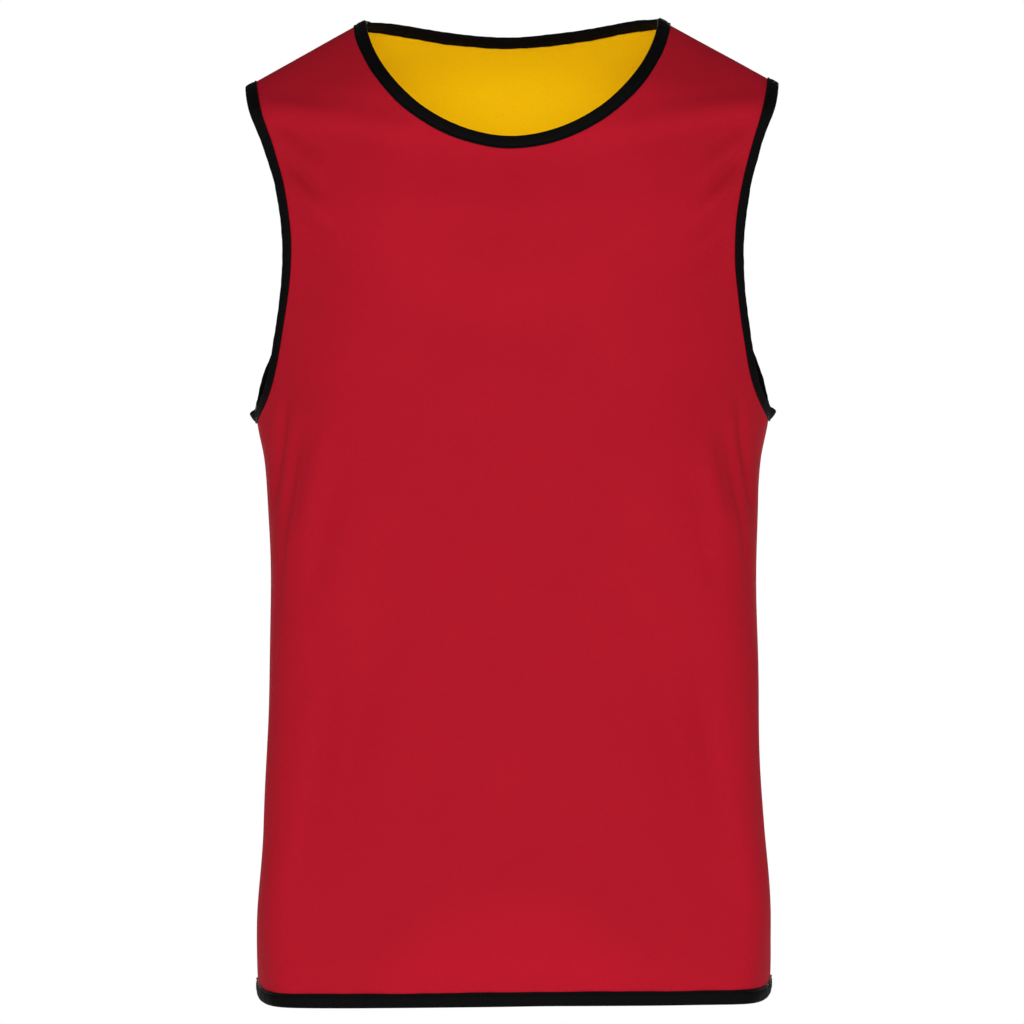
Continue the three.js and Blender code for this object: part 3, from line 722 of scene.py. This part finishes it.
def knit_group():
    """Knit stitches: columns of small chevrons that interlock, with a groove between columns."""
    group, start, end = node_group(
        "Knit stitches",
        {"Place": (VECTOR, None), "Stitch Width": (FLOAT, 0.00065),
         "Stitch Height": (FLOAT, 0.0005)},
        {"Height": FLOAT},
    )
    place = put(group, "ShaderNodeSeparateXYZ", {0: start.outputs["Place"]})
    across = work_out(group, "DIVIDE", place.outputs["X"], start.outputs["Stitch Width"])
    up = work_out(group, "DIVIDE", place.outputs["Y"], start.outputs["Stitch Height"])
    in_column = work_out(group, "FRACT", across)
    from_middle = work_out(group, "ABSOLUTE", work_out(group, "SUBTRACT", in_column, 0.5))
    arm = work_out(group, "MULTIPLY_ADD", from_middle, -KNIT_SLANT, up)
    rib = work_out(group, "SINE", work_out(group, "MULTIPLY", arm, 2 * math.pi))
    rib = work_out(group, "MULTIPLY_ADD", rib, KNIT_ROUND, 1 - KNIT_ROUND)
    # Each leg is highest halfway from the column's middle to its edge
    leg = work_out(group, "ABSOLUTE", work_out(group, "MULTIPLY_ADD", from_middle, 4.0, -1.0))
    leg = work_out(group, "SUBTRACT", 1.0, work_out(group, "MULTIPLY", leg, leg))
    group.links.new(work_out(group, "MULTIPLY", rib, leg), end.inputs["Height"])
    return group


def mottle_group():
    """Unevenness of dyed yarn: fine specks that streak along the knit, and slow patches."""
    group, start, end = node_group(
        "Dye mottle",
        {"Place": (VECTOR, None), "Speck": (FLOAT, 0.5), "Patch": (FLOAT, 0.5)},
        {"Shade": FLOAT},
    )
    stretched = put(group, "ShaderNodeVectorMath",
                    {0: start.outputs["Place"], 1: (1, STREAK, 1)}, operation="MULTIPLY")
    speck = put(group, "ShaderNodeTexNoise", {
        "Vector": stretched.outputs[0], "Scale": 900, "Detail": 2, "Roughness": 0.6})
    patch = put(group, "ShaderNodeTexNoise", {
        "Vector": start.outputs["Place"], "Scale": 28, "Detail": 3, "Roughness": 0.5})
    fine = work_out(group, "MULTIPLY",
                    work_out(group, "SUBTRACT", speck.outputs["Fac"], 0.5),
                    start.outputs["Speck"])
    slow = work_out(group, "MULTIPLY",
                    work_out(group, "SUBTRACT", patch.outputs["Fac"], 0.5),
                    start.outputs["Patch"])
    total = work_out(group, "ADD", work_out(group, "ADD", fine, slow), 1.0)
    group.links.new(total, end.inputs["Shade"])
    return group


def pucker_group():
    """Small puckers where a binding's stitches draw the cloth up: they fade within its reach."""
    group, start, end = node_group(
        "Edge puckers",
        {"Place": (VECTOR, None), "Reach": (FLOAT, 0.014)},
        {"Height": FLOAT},
    )
    place = put(group, "ShaderNodeSeparateXYZ", {0: start.outputs["Place"]})
    noise = put(group, "ShaderNodeTexNoise", {
        "Vector": start.outputs["Place"], "Scale": 130, "Detail": 1, "Roughness": 0.4})
    near = work_out(group, "DIVIDE", place.outputs["Z"], start.outputs["Reach"])
    near = work_out(group, "SUBTRACT", 1.0, work_out(group, "MINIMUM", near, 1.0))
    height = work_out(group, "MULTIPLY", noise.outputs["Fac"],
                      work_out(group, "MULTIPLY", near, near))
    group.links.new(height, end.inputs["Height"])
    return group


knit_stitches, dye_mottle, edge_puckers = knit_group(), mottle_group(), pucker_group()


def knit_material(name, colour, sheen_colour, speck, patch):
    """Matt polyester knit in one colour."""
    material, tree, shader = new_material(name, colour)
    place = put(tree, "ShaderNodeAttribute", attribute_name="flat_place").outputs["Vector"]
    knit = put(tree, "ShaderNodeGroup", {"Place": place}, node_tree=knit_stitches)
    mottle = put(tree, "ShaderNodeGroup", {"Place": place, "Speck": speck, "Patch": patch},
                 node_tree=dye_mottle)
    puckers = put(tree, "ShaderNodeGroup", {"Place": place}, node_tree=edge_puckers)
    painted_lightness = put(tree, "ShaderNodeAttribute", attribute_name="painted_lightness").outputs["Fac"]
    # The colour is the dye's mottle times the painted light over the chest and above the hem
    strength = work_out(tree, "MULTIPLY", mottle.outputs["Shade"], painted_lightness)
    shade = put(tree, "ShaderNodeVectorMath", {0: colour, "Scale": strength}, operation="SCALE")
    coarse = put(tree, "ShaderNodeBump", {
        "Height": puckers.outputs["Height"], "Distance": 0.0009, "Strength": 1.0})
    fine = put(tree, "ShaderNodeBump", {
        "Height": knit.outputs["Height"], "Distance": 0.00004, "Strength": 0.7,
        "Normal": coarse.outputs["Normal"]})
    rough = put(tree, "ShaderNodeMapRange", {
        "Value": knit.outputs["Height"], "To Min": 0.9, "To Max": 0.74})
    feed(tree, shader, {
        "Base Color": shade.outputs["Vector"],
        "Normal": fine.outputs["Normal"],
        "Roughness": rough.outputs["Result"],
        "Specular IOR Level": 0.05,
        "Sheen Weight": 0.02,
        "Sheen Roughness": 0.5,
        "Sheen Tint": (*sheen_colour, 1),
    })
    return material


RED = (0.352, 0.0058, 0.0158)
RED_SHEEN = (1.0, 0.2, 0.25)

red_knit = knit_material("red_knit", RED, RED_SHEEN, speck=0.27, patch=0.04)
for side in SIDES:
    cloth = cloth_layer(f"{side}_red_cloth", side, CLOTH_NEAR, CLOTH_FAR, red_knit,
                        f"{side}_outer")

# Yellow cloth: the front and the back of the bib's other side, of the same knit in a second
# colour, cut like the red ones and bound to them back to back at every edge. It shows inside,
# through the neck, the armholes and the hem.
YELLOW = (0.97, 0.60, 0.002)
YELLOW_SHEEN = (1.0, 0.8, 0.3)

yellow_knit = knit_material("yellow_knit", YELLOW, YELLOW_SHEEN, speck=0.19, patch=0.05)
for side in SIDES:
    cloth = cloth_layer(f"{side}_yellow_cloth", side, -CLOTH_NEAR, -CLOTH_FAR, yellow_knit,
                        f"{side}_inner")

# Neck binding: a strip of black woven tape, its raw edges turned in, folded over the edge of
# both cloths and sewn through everything with one row of lockstitch near its edge.
TAPE_BLACK = (0.0022, 0.0019, 0.0020)
TAPE_PLAIN = (0.004, 0.004, 0.0045)
TAPE_RIB, TAPE_YARN, YARN_SHARE = 0.00055, 0.0004, 0.35

# How far the tape's two faces lie from the middle of the cloth, how far it domes between its
# stitches and its bend, and how far from its edge the stitches draw in a groove
TAPE_NEAR, TAPE_FAR = 0.00098, 0.00185
TAPE_DOME = 0.00016
STITCH_ROW = 0.0021
STITCH_GROOVE, STITCH_GROOVE_WIDTH = 0.0005, 0.0005

# The tape is drawn in sections a short way apart, each with a small arc on its edge, places
# along its leg, and the bend, which starts just before the cloth ends
STATION = 0.0015
EDGE_ARC = 4
BEND_ARC = 8
LEG_PLACES = (0.0011, 0.0016, 0.0021, 0.0026, 0.0034, 0.0048, 0.0064, 0.0078)
BEND_OVERLAP, FOLD_ROOM = 0.0004, 0.0002


def tape_section(cloth_end):
    """The tape's section as places in from its edge and heights off the middle of the cloth: up
    the outside leg, round the bend, down the inside leg, and back along the fold's inside."""
    r = (TAPE_FAR - TAPE_NEAR) / 2
    turn = np.linspace(-np.pi / 2, -3 * np.pi / 2, EDGE_ARC + 1)
    edge = np.stack([r + r * np.cos(turn), TAPE_NEAR + r + r * np.sin(turn)], -1)
    s = np.array(LEG_PLACES)
    groove = STITCH_GROOVE * np.exp(-(((s - STITCH_ROW) / STITCH_GROOVE_WIDTH) ** 2))
    past = np.clip((s - STITCH_ROW) / (cloth_end - STITCH_ROW), 0, 1)
    leg = np.stack([s, TAPE_FAR - groove + TAPE_DOME * np.sin(np.pi * past)], -1)
    turn = np.linspace(np.pi / 2, -np.pi / 2, BEND_ARC + 1)
    bend_start = cloth_end - BEND_OVERLAP
    reach = cloth_end + BEND_REACH - bend_start
    bend = np.stack([bend_start + reach * np.cos(turn), TAPE_FAR * np.sin(turn)], -1)
    half = np.vstack([edge, leg])
    other = half[::-1] * (1, -1)
    fold_end = cloth_end + FOLD_ROOM
    inside = np.array([(fold_end, -TAPE_NEAR), (fold_end, TAPE_NEAR)])
    return np.vstack([half, bend, other, inside])


# Unevenness along a tape: waves of the given lengths that shift its edge and lift its face. The
# tape also lifts where it crosses a seam.
TAPE_WAVES = columns("length phase shift lift", [
    (0.097, 0.7, 0.00016, 0.00004),
    (0.041, 2.9, 0.00010, 0.00007),
    (0.017, 4.4, 0.00003, 0.00010),
    (0.0093, 1.6, 0.00000, 0.00008),
])
SEAM_LUMP, SEAM_LUMP_REACH = 0.0002, 0.004


def waves(column, at, total, phase):
    """The unevenness at places along a closed edge: whole waves fit its length."""
    height = np.zeros(len(at))
    for length, start, depth in zip(*(TAPE_WAVES[key] for key in ("length", "phase", column))):
        turns = round(total / length)
        height += depth * np.sin(2 * np.pi * turns * at / total + start + phase)
    return height


def edge_steps(name):
    """Distances from each point of a bound edge to the next."""
    start = points[edges[name]["inner"]]
    return np.linalg.norm(np.roll(start, -1, 0) - start, axis=1)


def edge_length(name):
    return edge_steps(name).sum()


def edge_course(name, at, phase):
    """A bound edge at distances along it: the start and the direction of the strip under the
    tape, the cloth's direction at both ends of the strip, and the tape's unevenness. The tape
    is thicker where it crosses a seam."""
    edge = edges[name]
    total = edge_length(name)
    place = np.append(0, edge_steps(name).cumsum())[:-1]
    wrap = 4
    place = np.concatenate([place[-wrap:] - total, place, place[:wrap] + total])

    def read(values):
        wrapped = np.concatenate([values[-wrap:], values, values[:wrap]])
        return curve_through(place, wrapped, at)

    course = {
        "at": at,
        "start": read(points[edge["inner"]]),
        "out": unit(read(edge["out"])),
        "near": unit(read(normals[edge["inner"]])),
        "far": unit(read(normals[edge["outer"]])),
        "shift": waves("shift", at, total, phase),
        "lift": waves("lift", at, total, phase),
    }
    course["lift"] += SEAM_LUMP * np.exp(-((course["start"][:, 1] / SEAM_LUMP_REACH) ** 2))
    return course


def on_tape(course, s, off, cloth_end):
    """Points of a tape at places in from its edge and heights off the middle of the cloth."""
    share = np.clip(s / cloth_end, 0, 1)
    s = s - course["shift"][:, None] * (1 - share)
    outside = np.clip((np.abs(off) - TAPE_NEAR) / (TAPE_FAR - STITCH_GROOVE - TAPE_NEAR), 0, 1)
    off = off + np.sign(off) * outside * course["lift"][:, None]
    share = share[..., None]
    direction = course["near"][:, None] * (1 - share) + course["far"][:, None] * share
    middle = course["start"][:, None] + course["out"][:, None] * s[..., None]
    return middle + unit(direction) * off[..., None]


def tape(name, edge_name, cloth_end, phase, node):
    """A tape folded over a bound edge."""
    total = edge_length(edge_name)
    at = np.linspace(0, total, round(total / STATION), endpoint=False)
    course = edge_course(edge_name, at, phase)
    section = tape_section(cloth_end)
    s, off = (np.tile(v, (len(at), 1)) for v in section.T)
    vertices = on_tape(course, s, off, cloth_end)
    stations, corners = s.shape
    index = np.arange(stations * corners).reshape(stations, corners)
    after = np.roll(index, -1, 0)
    faces = np.stack([index, after, np.roll(after, -1, 1), np.roll(index, -1, 1)], -1)
    piece = mesh_piece(name, vertices.reshape(-1, 3), faces.reshape(-1, 4)[:, ::-1].tolist(),
                       black_tape)
    piece.data.set_sharp_from_angle(angle=SHARP_EDGE)
    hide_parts(node)
    places = np.stack([np.repeat(at, corners), s.ravel(), off.ravel()], -1)
    keep_at_points(piece, "tape_place", "FLOAT_VECTOR", "vector", places)
    return piece


def tape_material():
    """Black polyester tape, woven with a fine crosswise rib, matt with a faint gloss."""
    material, tree, shader = new_material("black_binding", TAPE_PLAIN)
    place = put(tree, "ShaderNodeAttribute", attribute_name="tape_place").outputs["Vector"]
    mottle = put(tree, "ShaderNodeGroup", {"Place": place, "Speck": 0.9, "Patch": 0.3},
                 node_tree=dye_mottle)
    shade = put(tree, "ShaderNodeVectorMath",
                {0: TAPE_BLACK, "Scale": mottle.outputs["Shade"]}, operation="SCALE")
    parts = put(tree, "ShaderNodeSeparateXYZ", {0: place})
    rib = work_out(tree, "MULTIPLY", parts.outputs["X"], 2 * math.pi / TAPE_RIB)
    yarn = work_out(tree, "MULTIPLY", parts.outputs["Y"], 2 * math.pi / TAPE_YARN)
    weave = work_out(tree, "MULTIPLY_ADD", work_out(tree, "SINE", yarn), YARN_SHARE,
                     work_out(tree, "SINE", rib))
    bump = put(tree, "ShaderNodeBump", {"Height": weave, "Distance": 0.00003, "Strength": 0.8})
    rough = put(tree, "ShaderNodeMapRange", {
        "Value": mottle.outputs["Shade"], "From Min": 0.7, "From Max": 1.3,
        "To Min": 0.5, "To Max": 0.66})
    feed(tree, shader, {
        "Base Color": shade.outputs["Vector"],
        "Normal": bump.outputs["Normal"],
        "Roughness": rough.outputs["Result"],
        "Specular IOR Level": 0.035,
    })
    return material


black_tape = tape_material()

# The sewing thread: the length of a stitch and the space to the next, the thread's width, how
# far a stitch thins to its ends, and how high it lies in the groove and dives at its ends, both
# in widths of the thread
STITCH, STITCH_SPACE = 0.0026, 0.0006
THREAD_WIDTH = 0.00034
THREAD_TAPER, THREAD_RISE, THREAD_DIVE = 0.92, 0.3, 0.9
THREAD_RINGS, THREAD_SIDES = 6, 6
# The thread's colour: its own black, darkened below the tape's with painted shade of the groove
# it lies in
THREAD_BLACK_AND_SHADE = (0.0008, 0.0008, 0.0008)


def thread_material():
    """Black sewing thread, a little glossier than the tape and darker than it: its own black with
    painted shade of its groove.
    """
    material, tree, shader = new_material("black_thread", THREAD_BLACK_AND_SHADE)
    place = put(tree, "ShaderNodeTexCoord").outputs["Object"]
    mottle = put(tree, "ShaderNodeGroup", {"Place": place, "Speck": 1.2, "Patch": 0.4},
                 node_tree=dye_mottle)
    shade = put(tree, "ShaderNodeVectorMath",
                {0: THREAD_BLACK_AND_SHADE, "Scale": mottle.outputs["Shade"]}, operation="SCALE")
    feed(tree, shader, {
        "Base Color": shade.outputs["Vector"],
        "Roughness": 0.45,
        "Specular IOR Level": 0.12,
    })
    return material


black_thread = thread_material()


def stitches(name, edge_name, cloth_end, phase):
    """One row of lockstitch round a binding, seen on both of its faces, as one joined mesh. Each
    stitch lies in the groove and dives into the tape at its ends."""
    total = edge_length(edge_name)
    count = round(total / (STITCH + STITCH_SPACE))
    middles = (np.arange(count) + 0.5) * total / count
    share = np.linspace(-1, 1, THREAD_RINGS + 1)
    around = np.arange(THREAD_SIDES) * 2 * np.pi / THREAD_SIDES
    at = (middles[:, None] + share * STITCH / 2).ravel()
    course = edge_course(edge_name, at, phase)
    row = np.full((len(at), 1), STITCH_ROW)
    radius = THREAD_WIDTH / 2 * np.sqrt(1 - (THREAD_TAPER * share) ** 2)
    dive = THREAD_WIDTH * THREAD_DIVE * share**4
    off = TAPE_FAR - STITCH_GROOVE + THREAD_WIDTH * THREAD_RISE - np.tile(dive, count)
    round_it = np.tile(radius, count)[:, None, None] * (
        np.cos(around)[None, :, None] * course["out"][:, None]
        + np.sin(around)[None, :, None] * course["near"][:, None]
    )
    vertices, faces = [], []
    for face in (1, -1):
        middle = on_tape(course, row, face * off[:, None], cloth_end)[:, 0]
        index = len(vertices) * len(at) * THREAD_SIDES + np.arange(len(at) * THREAD_SIDES)
        index = index.reshape(count, THREAD_RINGS + 1, THREAD_SIDES)
        vertices.append((middle[:, None] + round_it).reshape(-1, 3))
        low, high = index[:, :-1], index[:, 1:]
        body = np.stack([low, np.roll(low, -1, 2), np.roll(high, -1, 2), high], -1)
        faces += body.reshape(-1, 4).tolist()
        faces += index[:, 0, ::-1].tolist() + index[:, -1].tolist()
    return mesh_piece(name, np.vstack(vertices), faces, black_thread)


def bound_edge(name, width, phase, node):
    """A tape with its stitches round one opening."""
    cloth_end = width - BEND_REACH
    made = tape(f"{name}_tape", name, cloth_end, phase, node)
    sewing = stitches(f"{name}_stitches", name, cloth_end, phase)


bound_edge("neck", BINDING_WIDTH, 0.0, "neck_binding")

# Armhole bindings: the same black woven tape round each armhole, folded over both cloths and
# sewn through with its own row of lockstitch. It turns most sharply at the underarm, where it
# crosses the side seam.
for hand, phase in (("right", 1.9), ("left", 3.7)):
    bound_edge(f"armhole_{hand}", BINDING_WIDTH, phase, f"armhole_binding_{hand}")

# Hem binding: a slightly wider fold of the same tape round the bottom of the bib, over the ends
# of both side seams, sewn through with its own row of lockstitch.
bound_edge("hem", HEM_BINDING_WIDTH, 5.1, "hem_binding")

# Floor: a wide round of pale matt paint, far enough below to leave the bib hanging free. It
# gives off a little light of its own, so that it stays as pale as the room around it.
FLOOR_Z = -1.45
FLOOR_RADIUS, FLOOR_SIDES = 6.0, 96
FLOOR_PALE = (0.88, 0.88, 0.88)
FLOOR_GLOW = 0.28
bpy.ops.mesh.primitive_circle_add(vertices=FLOOR_SIDES, radius=FLOOR_RADIUS, fill_type="NGON",
                                  location=(0, 0, FLOOR_Z))
floor = bpy.context.object
floor.name = "floor"
floor_paint, tree, shader = new_material("floor_paint", FLOOR_PALE)
feed(tree, shader, {
    "Base Color": (*FLOOR_PALE, 1),
    "Roughness": 0.9,
    "Emission Color": (1, 1, 1, 1),
    "Emission Strength": FLOOR_GLOW,
})
floor.data.materials.append(floor_paint)

# Studio light: white all round, a large soft panel in front of the bib and one behind it, and a
# weaker one on each side in front, which lightens the cloth where it turns away.
SEEN_WHITE, ROOM_LIGHT = 1.0, 0.20
LIT_MIDDLE = (0, 0, -0.38)
world = bpy.data.worlds.new("studio")
bpy.context.scene.world = world
world.use_nodes = True
tree = world.node_tree
seen = put(tree, "ShaderNodeLightPath").outputs["Is Camera Ray"]
strength = put(tree, "ShaderNodeMapRange", {
    "Value": seen, "To Min": ROOM_LIGHT, "To Max": SEEN_WHITE})
feed(tree, tree.nodes["Background"], {
    "Color": (1, 1, 1, 1), "Strength": strength.outputs["Result"]})


def soft_panel(name, place, size, power):
    """A square soft light aimed at the middle of the bib."""
    data = bpy.data.lights.new(name, "AREA")
    data.shape = "SQUARE"
    data.size = size
    data.energy = power
    light = bpy.data.objects.new(name, data)
    bpy.context.scene.collection.objects.link(light)
    light.location = place
    way = np.array(LIT_MIDDLE) - np.array(place)
    light.rotation_mode = "QUATERNION"
    light.rotation_quaternion = Vector(way).to_track_quat("-Z", "Y")


soft_panel("front_panel", (0.0, -3.6, 0.15), size=2.0, power=79)
soft_panel("right_panel", (-2.9, -1.4, -0.1), size=1.6, power=25)
soft_panel("left_panel", (2.9, -1.4, -0.1), size=1.6, power=26)
soft_panel("back_panel", (0.0, 3.4, 0.1), size=2.0, power=78)

# Camera: level with the middle of the bib, four metres in front of it, with a long lens, and
# turned by a hair so that the bib stands as it does in the photo.
CAMERA_DISTANCE = 4.0
CAMERA_X, CAMERA_Z = -0.0008, -0.3796
CAMERA_LENS = 182.6
CAMERA_ROLL = math.radians(0.12)
camera_data = bpy.data.cameras.new("camera")
camera_data.lens = CAMERA_LENS
camera = bpy.data.objects.new("camera", camera_data)
bpy.context.scene.collection.objects.link(camera)
camera.location = (CAMERA_X, -CAMERA_DISTANCE, CAMERA_Z)
camera.rotation_euler = (math.pi / 2, CAMERA_ROLL, 0)
bpy.context.scene.camera = camera
bpy.context.scene.view_settings.view_transform = "Standard"
